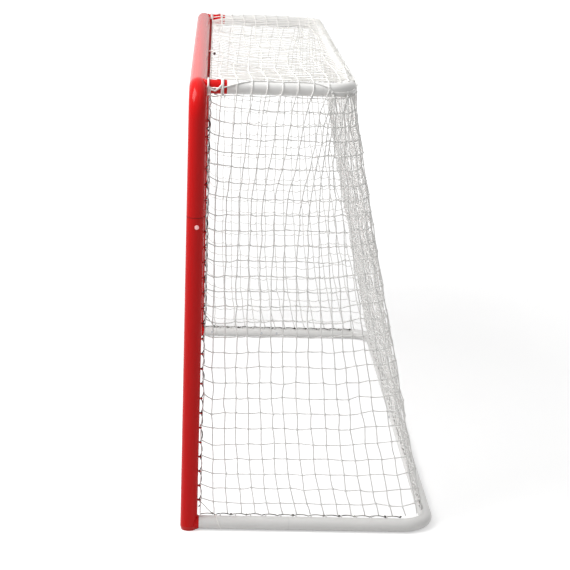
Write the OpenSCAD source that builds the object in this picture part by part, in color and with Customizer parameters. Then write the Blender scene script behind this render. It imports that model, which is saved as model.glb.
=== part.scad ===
// Ice hockey goal: red tubular mouth frame, white tubular base and top frame, knotted net.
// X runs across the mouth, the mouth faces -Y, Z is up and the floor is z = 0.
// The tubes are hollow; spigots, sleeves, screws and snap buttons join them.

/* [Mouth] */
// Clear width between the posts
mouth_w = 1829; // [1200:1:2200]
// Clear height under the crossbar
mouth_h = 1219; // [1000:1:1400]
// Outside diameter of posts and crossbar
post_d = 48; // [44:1:60]
// Wall of posts and crossbar
post_wall = 2; // [1.5:0.1:3]
// Centreline radius of the bend from post to crossbar
corner_r = 76; // [60:1:120]
// Height of the joint in each post
post_joint_z = 902; // [500:1:920]
// Depth of the spigots that join posts and crossbar
post_spigot_len = 85; // [80:1:120]

/* [White frame] */
// Post axis to the rear base tube's axis
base_depth = 680; // [600:1:900]
// Post axis to the top rear tube's axis
top_depth = 412; // [360:1:560]
// Top side tubes, distance inwards from the post axis
top_inset = 68.5; // [60:0.5:120]
// Outside diameter of the white tubes
frame_d = 38; // [34:1:42]
// Wall of the white tubes
frame_wall = 1.6; // [1.2:0.1:2.4]
// Centreline radius of the base corners
base_bend_r = 76; // [60:1:120]
// Centreline radius of the top corners
top_bend_r = 64; // [50:1:90]
// Straight leg at each end of a top elbow
elbow_leg = 14; // [12:1:40]
// Post axis to the joint in each base side tube
base_joint_y = 282; // [200:1:380]
// Post axis to the end of each red top stub
top_stub_len = 77; // [65:1:120]
// Length of the red collar behind each post's foot
collar_len = 4; // [2:0.5:12]
// Depth of the spigots that enter the base tubes
base_spigot_len = 60; // [45:1:90]
// Depth of the spigots that enter the top tubes
top_spigot_len = 48; // [40:1:50]
// Length of the loose sleeves inside the base and rear joints
sleeve_len = 120; // [100:1:180]
// Wall of spigots and sleeves
sleeve_wall = 2; // [1.5:0.1:3]

/* [Snap buttons] */
// Diameter of a snap button
button_d = 12; // [8:0.5:14]
// How far a button stands proud of its post
button_proud = 3; // [2:0.5:4]
// Distance from the tube joint to the button
button_gap = 25; // [20:1:32]
// Turn of the post buttons from straight outwards towards the rear
button_turn = 12; // [0:1:40]
// Width of the button's flange past its pin
flange_lip = 2.5; // [1.5:0.5:3]
// Thickness of the button's flange
flange_t = 1.5; // [1:0.1:2]
// Width of the spring strip
strip_w = 12; // [8:0.5:14]
// Thickness of the spring strip
strip_t = 0.8; // [0.5:0.1:1.2]
// Length of the spring strip below the button
strip_tail = 26; // [20:1:28]

/* [Feet and screws] */
// Height of a foot plug under its post
foot_h = 12; // [11:0.5:16]
// Length of the foot plug inside its post
foot_plug_len = 25; // [15:1:40]
// Wall of the foot plug
foot_plug_wall = 3; // [2:0.5:5]
// Rounding of the foot's lower edge
foot_round = 10; // [1:0.5:10]
// Shank diameter of the frame screws
screw_d = 4.2; // [3:0.1:5]
// Head diameter of the frame screws
screw_head_d = 8.4; // [6:0.1:10]
// Head height of the frame screws
screw_head_h = 2.6; // [1.5:0.1:4]
// Shank length of the frame screws
screw_len = 10; // [6:0.5:12]
// Distance of a screw from its joint
screw_gap = 30; // [20:1:36]

/* [Net] */
// Mesh of the net from knot to knot, also the pitch of the lacing loops
mesh = 43; // [35:1:60]
// Width of the openings in the net's panels
net_cell = 145; // [120:5:180]
// Width of the bars between the openings
net_bar = 12; // [8:1:16]
// Thickness of the net's panels
net_t = 3; // [2:0.5:6]
// Diameter of the lacing cord
lace_d = 4; // [3:0.5:5]
// Wire diameter of the welded lacing loops
loop_wire = 3; // [2:0.5:4]
// Lean of the base loops from the tube's top towards the inside
loop_lean = 30; // [0:1:60]
// Sag of the top net at its middle
top_sag = 40; // [0:1:80]
// Forward sag of the rear net at its middle
rear_sag = 60; // [0:1:90]

/* [Fit] */
// Clearance between pieces that fit in each other or lie on each other
gap = 0.3; // [0.2:0.05:0.5]

/* [Hidden] */

$fn = 64;
red = [0.80, 0.07, 0.06];
white = [0.93, 0.93, 0.92];
steel = [0.78, 0.79, 0.80];
cord_white = [0.95, 0.95, 0.94];
cord_dark = [0.12, 0.11, 0.11];

// Radii: tubes, their bores, and what fits inside them
post_r = post_d / 2;
post_bore_r = post_r - post_wall;
post_spigot_r = post_bore_r - gap;
post_spigot_bore_r = post_spigot_r - sleeve_wall;
frame_r = frame_d / 2;
frame_bore_r = frame_r - frame_wall;
frame_spigot_r = frame_bore_r - gap;
frame_spigot_bore_r = frame_spigot_r - sleeve_wall;

// A spigot's root inside its own tube, how far a weld reaches into a wall, and how far a
// cut runs past what it cuts
root_len = 8;
weld = 0.5;
past = 1;

// Axes of the tubes; y = 0 is the middle of the goal's depth
post_x = mouth_w / 2 + post_r;
bar_z = mouth_h + post_r;
front_y = (post_r - base_depth - frame_r) / 2;
rear_y = front_y + base_depth;
top_x = post_x - top_inset;
top_y = front_y + top_depth;
base_z = frame_r;

// Ends and joints
leg_end_z = bar_z - corner_r;
bar_end_x = post_x - corner_r;
base_start_y = front_y + post_r + collar_len;
base_seam_y = front_y + base_joint_y;
base_side_end_y = rear_y - base_bend_r;
base_rear_end_x = post_x - base_bend_r;
stub_end_y = front_y + top_stub_len;
elbow_y = top_y - top_bend_r;
elbow_x = top_x - top_bend_r;
top_seam_y = elbow_y - elbow_leg;
top_seam_x = elbow_x - elbow_leg;

// Lacing: the cord's axis above a tube's surface, and the ring of a loop around it
lace_off = lace_d / 2 + gap;
loop_r = lace_off + loop_wire / 2;
loop_top = lace_off + loop_r + loop_wire / 2;
first_loop_z = 2 * mesh;
last_loop_x = min(bar_end_x, top_x - frame_r) - loop_wire;

// Snap button, measured from the tube's axis along the button; its dome's radius is a share
// of its diameter
flange_r = button_d / 2 + flange_lip;
flange_top = sqrt(pow(post_spigot_bore_r, 2) - pow(flange_r, 2)) - gap;
arm_out = flange_top - flange_t;
spring_back = gap - sqrt(pow(post_spigot_bore_r, 2) - pow(strip_w / 2, 2));
strip_low_z = -button_gap - strip_tail;
strip_len = strip_tail + flange_r;
dome_share = 0.8;
dome_r = dome_share * button_d;

// ---- Building blocks ----

// A round bar and a tube along Z, from z0 to z1
module bar(r, z0, z1) {
    translate([0, 0, z0]) cylinder(r = r, h = z1 - z0);
}

module pipe(r_out, r_in, z0, z1) {
    difference() {
        bar(r_out, z0, z1);
        bar(r_in, z0 - past, z1 + past);
    }
}

// Turn what is built along Z to run along +X or +Y
module along_x() {
    rotate([0, 90, 0]) children();
}

module along_y() {
    rotate([-90, 0, 0]) children();
}

// A quarter bend in the XY plane that starts at the origin along +Y and turns to -X
module bend(r, bend_r) {
    translate([-bend_r, 0, 0]) rotate_extrude(angle = 90, $fn = 96)
        translate([bend_r, 0]) circle(r = r);
}

// A round run in the XY plane: along a side up to a bend, then across to end_x
module corner_run(r, bend_r, side_x, start_y, cross_y, end_x) {
    translate([side_x, 0, 0]) along_y() bar(r, start_y, cross_y - bend_r);
    translate([side_x, cross_y - bend_r, 0]) bend(r, bend_r);
    translate([0, cross_y, 0]) along_x() bar(r, end_x, side_x - bend_r);
}

module both_sides() {
    children();
    mirror([1, 0, 0]) children();
}

// Put children on a tube: along the tube is local Z, the lacing side is local X
module behind_post(z) {
    translate([post_x, front_y, z]) rotate([0, 0, 90]) children();
}

module behind_bar(x) {
    translate([x, front_y, bar_z]) rotate([90, 0, 90]) children();
}

module on_base_side(y) {
    translate([post_x, y, base_z]) rotate([0, -loop_lean, 0])
        rotate([-90, 0, 0]) rotate([0, 0, -90]) children();
}

module on_base_rear(x) {
    translate([x, rear_y, base_z]) rotate([loop_lean, 0, 0]) rotate([0, -90, 0]) children();
}

// A wire loop on a tube along Z, standing out to +X around the lacing cord
module lacing_loop(tube_r) {
    translate([tube_r + lace_off, 0, 0]) {
        rotate([0, 0, -90]) rotate_extrude(angle = 180, $fn = 24)
            translate([loop_r, 0]) circle(d = loop_wire, $fn = 16);
        for (side = [-loop_r, loop_r]) translate([0, side, 0]) rotate([0, -90, 0])
            cylinder(d = loop_wire, h = lace_off, $fn = 16);
    }
}

module lacing(tube_r, length) {
    translate([tube_r + lace_off, 0, -length / 2]) cylinder(d = lace_d, h = length, $fn = 24);
}

// Panel over a grid of points, t thick. Its cells are open where neither the column nor the
// row is a bar: cols and rows say for each column and each row of cells whether it is one.
module netting(grid, cols, rows, t) {
    m = len(grid);
    n = len(grid[0]);
    under = [for (row = grid) each row];
    over = [for (p = under) p + t];
    function at(i, j, k) = k * m * n + i * n + j;
    function solid(i, j) =
        i >= 0 && j >= 0 && i < m - 1 && j < n - 1 && (cols[i] || rows[j]);
    quads = [
        for (i = [0 : m - 2], j = [0 : n - 2]) if (solid(i, j)) each [
            [at(i, j, 0), at(i, j + 1, 0), at(i + 1, j + 1, 0), at(i + 1, j, 0)],
            [at(i, j, 1), at(i + 1, j, 1), at(i + 1, j + 1, 1), at(i, j + 1, 1)],
            if (!solid(i, j - 1))
                [at(i, j, 0), at(i + 1, j, 0), at(i + 1, j, 1), at(i, j, 1)],
            if (!solid(i, j + 1))
                [at(i, j + 1, 0), at(i, j + 1, 1), at(i + 1, j + 1, 1), at(i + 1, j + 1, 0)],
            if (!solid(i - 1, j))
                [at(i, j, 0), at(i, j, 1), at(i, j + 1, 1), at(i, j + 1, 0)],
            if (!solid(i + 1, j))
                [at(i + 1, j, 0), at(i + 1, j + 1, 0), at(i + 1, j + 1, 1), at(i + 1, j, 1)]
        ]];
    polyhedron(concat(under, over),
        [for (q = quads) each [[q[0], q[2], q[1]], [q[0], q[3], q[2]]]], convexity = 10);
}

// ---- Screws: a point on the tube's axis, and the turn that points +Z out of the tube ----

inwards = [0, -90, 0];
forwards = [90, 0, 0];
downwards = [180, 0, 0];
post_screw = [[[post_x, base_start_y + screw_gap, base_z], inwards]];
base_screws = [
    [[post_x, base_seam_y - screw_gap, base_z], inwards],
    [[post_x, base_seam_y + screw_gap, base_z], inwards],
    [[screw_gap, rear_y, base_z], forwards]
];
stub_screw = [[[top_x, stub_end_y - screw_gap, bar_z], downwards]];
top_screws = [
    [[top_x, top_seam_y - screw_gap, bar_z], downwards],
    [[top_seam_x - screw_gap, top_y, bar_z], downwards],
    [[screw_gap, top_y, bar_z], downwards]
];

module at_screws(list) {
    for (s = list) translate(s[0]) rotate(s[1]) children();
}

module screw_holes(list) {
    at_screws(list) bar(screw_d / 2 + gap / 2, 0, frame_d);
}

module screw() {
    seat = frame_r + gap;
    bar(screw_d / 2, seat - screw_len, seat + screw_head_h / 2);
    bar(screw_head_d / 2, seat, seat + screw_head_h);
}

module frame_screws() {
    color(steel) both_sides() at_screws(concat(post_screw, base_screws, stub_screw, top_screws))
        screw();
}

// ---- Mouth frame ----

// Places at a snap joint: the spigot points to local -Z, the button to local +X
module at_post_joint() {
    translate([post_x, front_y, post_joint_z]) rotate([0, 0, button_turn]) children();
}

module at_bar_joint() {
    translate([0, front_y, bar_z]) along_x() children();
}

module button_hole() {
    translate([0, 0, -button_gap]) along_x() cylinder(r = button_d / 2 + gap, h = post_d);
}

// The reduced end of a post tube, with the hole for its button
module snap_spigot() {
    difference() {
        union() {
            pipe(post_spigot_r, post_spigot_bore_r, -post_spigot_len, root_len);
            pipe(post_bore_r + weld, post_spigot_bore_r, gap / 2, root_len);
        }
        button_hole();
    }
}

// Lower post, with its collar and the spigot that carries the base tube
module post() {
    difference() {
        union() {
            translate([post_x, front_y, 0]) bar(post_r, 0, post_joint_z - gap / 2);
            translate([post_x, front_y, base_z]) along_y() {
                bar(frame_r, 0, post_r + collar_len);
                bar(frame_spigot_r, 0, post_r + collar_len + base_spigot_len);
            }
        }
        translate([post_x, front_y, 0]) {
            bar(post_bore_r, -past, post_joint_z + past);
            bar(post_r + gap, -past, foot_h + gap / 2);
        }
        translate([post_x, front_y, base_z]) along_y()
            bar(frame_spigot_bore_r, post_r, post_r + collar_len + base_spigot_len + past);
        at_post_joint() button_hole();
        screw_holes(post_screw);
    }
}

module post_loops() {
    last = floor((post_joint_z - loop_wire - first_loop_z) / mesh);
    for (i = [0 : last]) behind_post(first_loop_z + i * mesh) lacing_loop(post_r);
}

// The run of an upper section: leg, bend and half of the crossbar
module upper_run(r, over) {
    start = gap / 2 - over;
    translate([0, front_y, 0]) rotate([90, 0, 0])
        corner_run(r, corner_r, post_x, post_joint_z + start, bar_z, start);
}

// Upper section with the stub for the top frame; its crossbar end is a spigot or a socket
module upper(has_spigot) {
    difference() {
        union() {
            upper_run(post_r, 0);
            translate([top_x, front_y, bar_z]) along_y() bar(frame_r, 0, top_stub_len);
        }
        upper_run(post_bore_r, past);
        translate([top_x, front_y, bar_z]) along_y()
            bar(frame_bore_r, post_r, top_stub_len + past);
        screw_holes(stub_screw);
        if (!has_spigot) mirror([1, 0, 0]) at_bar_joint() button_hole();
    }
    at_post_joint() snap_spigot();
    if (has_spigot) at_bar_joint() snap_spigot();
}

module upper_loops() {
    first = ceil((post_joint_z + loop_wire - first_loop_z) / mesh);
    last = floor((leg_end_z - first_loop_z) / mesh);
    last_on_bar = floor((last_loop_x - mesh / 2) / mesh);
    for (i = [first : last]) behind_post(first_loop_z + i * mesh) lacing_loop(post_r);
    for (i = [0 : last_on_bar]) behind_bar((i + 0.5) * mesh) lacing_loop(post_r);
}

// Rounded plug that closes a post and stands on the floor
module foot() {
    translate([post_x, front_y, 0]) rotate_extrude() difference() {
        union() {
            translate([0, foot_round]) square([post_r, foot_h - foot_round]);
            square([post_r - foot_round, foot_h]);
            intersection() {
                translate([post_r - foot_round, foot_round]) circle(r = foot_round);
                square([post_r, foot_h]);
            }
            square([post_spigot_r, foot_h + foot_plug_len]);
        }
        translate([0, foot_h])
            square([post_spigot_r - foot_plug_wall, foot_plug_len + past]);
    }
}

// Domed pin with the flange that stops it against the spigot's bore
module button() {
    top = post_r + button_proud;
    translate([0, 0, -button_gap]) along_x() {
        bar(flange_r, arm_out, flange_top);
        intersection() {
            bar(button_d / 2, arm_out, top);
            translate([0, 0, top - dome_r]) sphere(r = dome_r);
        }
    }
}

// The arm of the spring strip that carries the button
module button_arm() {
    translate([arm_out - strip_t, -strip_w / 2, strip_low_z])
        cube([strip_t, strip_w, strip_len]);
}

// The bow and the back arm of the spring strip, which press on the far wall
module button_spring() {
    bow_r = (arm_out - spring_back) / 2;
    translate([spring_back, -strip_w / 2, strip_low_z - gap]) {
        cube([strip_t, strip_w, strip_len]);
        translate([bow_r, 0, 0]) rotate([-90, 0, 0]) rotate_extrude(angle = 180)
            translate([bow_r - strip_t, 0]) square([strip_t, strip_w]);
    }
}

// ---- Base frame ----

module base_front() {
    difference() {
        translate([post_x, 0, base_z]) along_y()
            pipe(frame_r, frame_bore_r, base_start_y + gap, base_seam_y - gap / 2);
        screw_holes(concat(post_screw, base_screws));
    }
}

module front_loops() {
    last = floor((base_seam_y - base_start_y - mesh) / mesh);
    for (i = [0 : last]) on_base_side(base_seam_y - (i + 0.5) * mesh) lacing_loop(frame_r);
}

module base_corner_run(r, over) {
    start = gap / 2 - over;
    translate([0, 0, base_z])
        corner_run(r, base_bend_r, post_x, base_seam_y + start, rear_y, start);
}

module base_corner() {
    difference() {
        base_corner_run(frame_r, 0);
        base_corner_run(frame_bore_r, past);
        screw_holes(base_screws);
    }
}

module corner_loops() {
    last_side = floor((base_side_end_y - base_seam_y) / mesh - 0.5);
    last_rear = floor(base_rear_end_x / mesh - 0.5);
    for (i = [0 : last_side]) on_base_side(base_seam_y + (i + 0.5) * mesh) lacing_loop(frame_r);
    for (i = [0 : last_rear]) on_base_rear((i + 0.5) * mesh) lacing_loop(frame_r);
}

// Loose sleeve inside a joint, centred on the origin along Z
module sleeve() {
    pipe(frame_spigot_r, frame_spigot_bore_r, -sleeve_len / 2, sleeve_len / 2);
}

module base_sleeve() {
    difference() {
        translate([post_x, base_seam_y, base_z]) along_y() sleeve();
        screw_holes(base_screws);
    }
}

module rear_sleeve(y, z, list) {
    difference() {
        translate([0, y, z]) along_x() sleeve();
        both_sides() screw_holes(list);
    }
}

// ---- Top frame ----

// Reduced end of a top tube: the spigot points to local -Z
module top_spigot() {
    pipe(frame_spigot_r, frame_spigot_bore_r, -top_spigot_len, root_len);
    pipe(frame_bore_r + weld, frame_spigot_bore_r, gap / 2, root_len);
}

module top_side() {
    difference() {
        union() {
            translate([top_x, 0, bar_z]) along_y()
                pipe(frame_r, frame_bore_r, stub_end_y + gap / 2, top_seam_y - gap / 2);
            translate([top_x, stub_end_y, bar_z]) along_y() top_spigot();
        }
        screw_holes(concat(stub_screw, top_screws));
    }
}

module top_elbow_run(r, over) {
    start = gap / 2 - over;
    translate([0, 0, bar_z])
        corner_run(r, top_bend_r, top_x, top_seam_y + start, top_y, top_seam_x + start);
}

module top_elbow() {
    difference() {
        union() {
            difference() {
                top_elbow_run(frame_r, 0);
                top_elbow_run(frame_bore_r, past);
            }
            translate([top_x, top_seam_y, bar_z]) along_y() top_spigot();
            translate([top_seam_x, top_y, bar_z]) along_x() top_spigot();
        }
        screw_holes(top_screws);
    }
}

module top_rear() {
    difference() {
        translate([0, top_y, bar_z]) along_x()
            pipe(frame_r, frame_bore_r, gap / 2, top_seam_x - gap / 2);
        screw_holes(top_screws);
    }
}

// ---- Net ----

// Where the net lies on the top corner and on the base lacing, at angle a around each
// bend (0 = side, 90 = rear), in steps of corner_step; side and rear nets part at 45
corner_step = 22.5;
net_low_z = base_z + cos(loop_lean) * (frame_r + lace_off) + loop_r + loop_wire / 2 + gap;
top_net_r = (top_bend_r + frame_r + gap) / cos(corner_step / 2);
base_net_r = base_bend_r - sin(loop_lean) * (frame_r + lace_off);
net_front_y = front_y + post_r + loop_top + gap;
// Half of the angle left between side and rear nets, and where the rear net's sag starts and
// ends, as a share of the sine that shapes it
corner_split = 1.5;
corner_slack = 0.08;

function mix(a, b, t) = a + (b - a) * t;
function flip(p) = [-p[0], p[1], p[2]];
function around_top(a) = [elbow_x + top_net_r * cos(a), elbow_y + top_net_r * sin(a), bar_z];
function around_base(a) =
    [base_rear_end_x + base_net_r * cos(a), base_side_end_y + base_net_r * sin(a), net_low_z];
// Axis of the top side tube and its bend at depth y
function top_edge_x(y) =
    elbow_x + sqrt(pow(top_bend_r, 2) - pow(max(0, min(top_bend_r, y - elbow_y)), 2));
// 0 at both ends of the span from edge to 1 - edge, 1 in its middle
function hollow(t, edge) = sin(180 * max(0, min(1, (t - edge) / (1 - 2 * edge))));

// Openings over a length, the edges of the bars beside them as shares of it, and which of
// the strips between those edges are bars
function cells(length) = max(1, round(length / net_cell));
function bar_edges(length) =
    let (n = cells(length), bar = net_bar / length, step = (1 - bar) / n)
    [for (i = [0 : n]) each [i * step, i * step + bar]];
function bars(length) = [for (i = [0 : 2 * cells(length)]) i % 2 == 0];

net_h = bar_z - net_low_z;
side_len = base_side_end_y - net_front_y;
rear_len = 2 * base_rear_end_x;
top_len = 2 * top_x;
top_len_y = top_y - net_front_y;

// Side net: columns from the post to the corner, rows from the base to the top tube
module side_net() {
    turns = [corner_step, 45 - corner_split];
    foot_start = [base_rear_end_x + base_net_r, net_front_y, net_low_z];
    head_start = [elbow_x + top_net_r, net_front_y, bar_z];
    foot_line = [for (u = bar_edges(side_len)) mix(foot_start, around_base(0), u),
        for (a = turns) around_base(a)];
    head_line = [for (u = bar_edges(side_len)) mix(head_start, around_top(0), u),
        for (a = turns) around_top(a)];
    netting([for (i = [0 : len(foot_line) - 1]) [for (v = bar_edges(net_h))
        mix(foot_line[i], head_line[i], v)]],
        concat(bars(side_len), [true, true]), bars(net_h), [net_t, 0, 0]);
}

// Rear net: from corner to corner, hanging forward of the straight line in its middle
module rear_net() {
    turns = [45 + corner_split, 90 - corner_step];
    back = [turns[1], turns[0]];
    across = bar_edges(rear_len);
    foot_line = [for (a = turns) around_base(a),
        for (u = across) mix(around_base(90), flip(around_base(90)), u),
        for (a = back) flip(around_base(a))];
    head_line = [for (a = turns) around_top(a),
        for (u = across) mix(around_top(90), flip(around_top(90)), u),
        for (a = back) flip(around_top(a))];
    sags = [0, 0, for (u = across) rear_sag * sin(180 * mix(corner_slack, 1 - corner_slack, u)), 0, 0];
    netting([for (i = [0 : len(foot_line) - 1]) [for (v = bar_edges(net_h))
        mix(foot_line[i], head_line[i], v) - [0, sags[i] * sin(180 * v), 0]]],
        concat([true, true], bars(rear_len), [true, true]), bars(net_h), [0, net_t, 0]);
}

// Top net: over the side tubes and the rear tube, down to the lacing at the crossbar
module top_net() {
    edge_z = bar_z + frame_r + gap;
    netting([for (u = bar_edges(top_len)) [for (v = bar_edges(top_len_y))
        let (y = mix(net_front_y, top_y, v))
        [(2 * u - 1) * top_edge_x(y), y, edge_z - hollow(u, net_bar / top_len)
            * (frame_r * (1 - v) + top_sag * hollow(v, net_bar / top_len_y))]]],
        bars(top_len), bars(top_len_y), [0, 0, net_t]);
}

// ---- Nodes ----

module right_post() { color(red) post(); }
module left_post() { color(red) mirror([1, 0, 0]) post(); }
module right_upper() { color(red) upper(true); }
module left_upper() { color(red) mirror([1, 0, 0]) upper(false); }
module right_post_loops() { color(red) post_loops(); }
module left_post_loops() { color(red) mirror([1, 0, 0]) post_loops(); }
module right_upper_loops() { color(red) upper_loops(); }
module left_upper_loops() { color(red) mirror([1, 0, 0]) upper_loops(); }
module right_foot() { color(red) foot(); }
module left_foot() { color(red) mirror([1, 0, 0]) foot(); }
module right_button() { color(steel) at_post_joint() button(); }
module left_button() { color(steel) mirror([1, 0, 0]) at_post_joint() button(); }
module crossbar_button() { color(steel) at_bar_joint() button(); }
module right_button_arm() { color(steel) at_post_joint() button_arm(); }
module left_button_arm() { color(steel) mirror([1, 0, 0]) at_post_joint() button_arm(); }
module crossbar_button_arm() { color(steel) at_bar_joint() button_arm(); }
module right_button_spring() { color(steel) at_post_joint() button_spring(); }
module left_button_spring() { color(steel) mirror([1, 0, 0]) at_post_joint() button_spring(); }
module crossbar_button_spring() { color(steel) at_bar_joint() button_spring(); }
module right_base_front() { color(white) base_front(); }
module left_base_front() { color(white) mirror([1, 0, 0]) base_front(); }
module right_base_corner() { color(white) base_corner(); }
module left_base_corner() { color(white) mirror([1, 0, 0]) base_corner(); }
module right_front_loops() { color(white) front_loops(); }
module left_front_loops() { color(white) mirror([1, 0, 0]) front_loops(); }
module right_corner_loops() { color(white) corner_loops(); }
module left_corner_loops() { color(white) mirror([1, 0, 0]) corner_loops(); }
module right_base_sleeve() { color(steel) base_sleeve(); }
module left_base_sleeve() { color(steel) mirror([1, 0, 0]) base_sleeve(); }
module rear_base_sleeve() { color(steel) rear_sleeve(rear_y, base_z, base_screws); }
module right_top_side() { color(white) top_side(); }
module left_top_side() { color(white) mirror([1, 0, 0]) top_side(); }
module right_top_elbow() { color(white) top_elbow(); }
module left_top_elbow() { color(white) mirror([1, 0, 0]) top_elbow(); }
module right_top_rear() { color(white) top_rear(); }
module left_top_rear() { color(white) mirror([1, 0, 0]) top_rear(); }
module rear_top_sleeve() { color(steel) rear_sleeve(top_y, bar_z, top_screws); }
module right_post_lacing() { color(cord_dark) post_lacing(); }
module left_post_lacing() { color(cord_dark) mirror([1, 0, 0]) post_lacing(); }
module crossbar_lacing() { color(cord_dark) behind_bar(0) lacing(post_r, 2 * last_loop_x); }
module right_base_lacing() { color(cord_dark) base_lacing(); }
module left_base_lacing() { color(cord_dark) mirror([1, 0, 0]) base_lacing(); }
module rear_base_lacing() {
    color(cord_dark) on_base_rear(0) lacing(frame_r, 2 * base_rear_end_x);
}
module right_net() { color(cord_white) side_net(); }
module left_net() { color(cord_white) mirror([1, 0, 0]) side_net(); }

module post_lacing() {
    z0 = first_loop_z - mesh / 2;
    behind_post((z0 + leg_end_z) / 2) lacing(post_r, leg_end_z - z0);
}

module base_lacing() {
    on_base_side((base_start_y + base_side_end_y) / 2)
        lacing(frame_r, base_side_end_y - base_start_y - 2 * loop_wire);
}

left_post();
right_post();
left_upper();
right_upper();
left_foot();
right_foot();
left_post_loops();
right_post_loops();
left_upper_loops();
right_upper_loops();
left_button();
right_button();
crossbar_button();
left_button_arm();
right_button_arm();
crossbar_button_arm();
left_button_spring();
right_button_spring();
crossbar_button_spring();
left_base_front();
right_base_front();
left_base_corner();
right_base_corner();
left_front_loops();
right_front_loops();
left_corner_loops();
right_corner_loops();
left_base_sleeve();
right_base_sleeve();
rear_base_sleeve();
left_top_side();
right_top_side();
left_top_elbow();
right_top_elbow();
left_top_rear();
right_top_rear();
rear_top_sleeve();
frame_screws();
left_post_lacing();
right_post_lacing();
crossbar_lacing();
left_base_lacing();
right_base_lacing();
rear_base_lacing();
top_net();
rear_net();
left_net();
right_net();
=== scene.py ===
import math
import random
from functools import cache

import bmesh
import bpy
import numpy as np
from mathutils import Matrix, Vector


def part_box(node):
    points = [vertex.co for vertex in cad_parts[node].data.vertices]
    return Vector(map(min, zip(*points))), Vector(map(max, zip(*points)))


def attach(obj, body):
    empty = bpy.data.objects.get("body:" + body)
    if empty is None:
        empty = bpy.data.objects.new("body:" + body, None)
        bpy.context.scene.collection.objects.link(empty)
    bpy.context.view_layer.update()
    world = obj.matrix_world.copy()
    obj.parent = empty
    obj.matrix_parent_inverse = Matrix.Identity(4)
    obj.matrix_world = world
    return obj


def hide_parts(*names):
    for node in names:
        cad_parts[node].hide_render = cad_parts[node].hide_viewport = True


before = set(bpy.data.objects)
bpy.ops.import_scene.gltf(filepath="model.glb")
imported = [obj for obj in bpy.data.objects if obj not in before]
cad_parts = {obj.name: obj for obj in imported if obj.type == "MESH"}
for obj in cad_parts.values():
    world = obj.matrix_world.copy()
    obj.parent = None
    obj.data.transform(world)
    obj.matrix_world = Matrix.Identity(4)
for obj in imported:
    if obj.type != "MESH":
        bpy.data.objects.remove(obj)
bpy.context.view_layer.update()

goalBody = "goal_frame"
bpy.context.scene.view_settings.view_transform = "Standard"


def deselectAll():
    for thing in bpy.context.selected_objects:
        thing.select_set(False)


print("camera")

cameraSet = {
    "place": (5.1877, -0.2965, 1.8615),  # metres, in the goal's own frame
    "turn": -2.786,  # degrees from looking along -X
    "dip": 15.052,  # degrees below the horizon
    "roll": 2.081,
    "focalPixels": 1619.7,
    "imagePixels": 570,
    "sensor": 36.0,  # mm
    "farEnd": 200,
}


def addCamera(c):
    data = bpy.data.cameras.new("viewCamera")
    data.sensor_width = c["sensor"]
    data.lens = c["focalPixels"] * c["sensor"] / c["imagePixels"]
    data.clip_end = c["farEnd"]
    camera = bpy.data.objects.new("viewCamera", data)
    bpy.context.collection.objects.link(camera)
    camera.matrix_world = Matrix.Translation(c["place"])
    for angle, axis in ((90 + c["turn"], "Z"), (90 - c["dip"], "X"), (c["roll"], "Z")):
        camera.matrix_world = camera.matrix_world @ Matrix.Rotation(math.radians(angle), 4, axis)
    bpy.context.scene.camera = camera


addCamera(cameraSet)

print("materials")


def newMaterial(name):
    material = bpy.data.materials.new(name)
    material.use_nodes = True
    return material, material.node_tree


def newGroup(name, inputs):
    # an input without a value is a colour; each group puts out colour, roughness and height
    tree = bpy.data.node_groups.new(name, "ShaderNodeTree")
    for socketName, value in inputs.items():
        kind = "NodeSocketColor" if value is None else "NodeSocketFloat"
        socket = tree.interface.new_socket(socketName, in_out="INPUT", socket_type=kind)
        if value is not None:
            socket.default_value = value
    for socketName in ("Color", "Roughness", "Height"):
        kind = "NodeSocketColor" if socketName == "Color" else "NodeSocketFloat"
        tree.interface.new_socket(socketName, in_out="OUTPUT", socket_type=kind)
    return tree, tree.nodes.new("NodeGroupInput").outputs, tree.nodes.new("NodeGroupOutput").inputs


def feed(tree, value, socket):
    # a number or colour is set on the socket, an output is linked to it
    if isinstance(value, (int, float, tuple)):
        socket.default_value = value
    else:
        tree.links.new(value, socket)


def feedAll(tree, sockets, values):
    for socketName, value in values.items():
        feed(tree, value, sockets[socketName])


def mathNode(tree, operation, *values):
    node = tree.nodes.new("ShaderNodeMath")
    node.operation = operation
    for value, socket in zip(values, node.inputs):
        feed(tree, value, socket)
    return node.outputs[0]


def total(tree, first, second):
    return mathNode(tree, "ADD", first, second)


def product(tree, first, second):
    return mathNode(tree, "MULTIPLY", first, second)


def splitNode(tree, vector):
    node = tree.nodes.new("ShaderNodeSeparateXYZ")
    feed(tree, vector, node.inputs[0])
    return node.outputs


mixSockets = {"factor": 0, "first": 6, "second": 7, "result": 2}  # where a Mix node keeps its colour sockets


def mixColour(tree, factor, first, second):
    node = tree.nodes.new("ShaderNodeMix")
    node.data_type = "RGBA"
    feed(tree, factor, node.inputs[mixSockets["factor"]])
    feed(tree, first, node.inputs[mixSockets["first"]])
    feed(tree, second, node.inputs[mixSockets["second"]])
    return node.outputs[mixSockets["result"]]


def noiseNode(tree, vector, scale, detail):
    node = tree.nodes.new("ShaderNodeTexNoise")
    feedAll(tree, node.inputs, {"Vector": vector, "Scale": scale, "Detail": detail})
    return node.outputs["Fac"]


def rampNode(tree, value, low, high):
    node = tree.nodes.new("ShaderNodeMapRange")
    feedAll(tree, node.inputs, {"Value": value, "From Min": low, "From Max": high})
    return node.outputs[0]


enamelSet = {
    "mottleNoise": (14.0, 4.0),  # scale and detail
    "mottleShare": 0.05,
    "scuffNoise": (90.0, 6.0),
    "scuffEdge": (0.66, 0.74),  # noise values at which a scuff starts and is full
    "scuffShare": 0.12,
    "peelDetail": 2.0,
    "seamEdge": (2.0, 0.6),  # widths from the seam at which its painted shade ends and is full
    "wornRoughness": 0.5,
}


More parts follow.
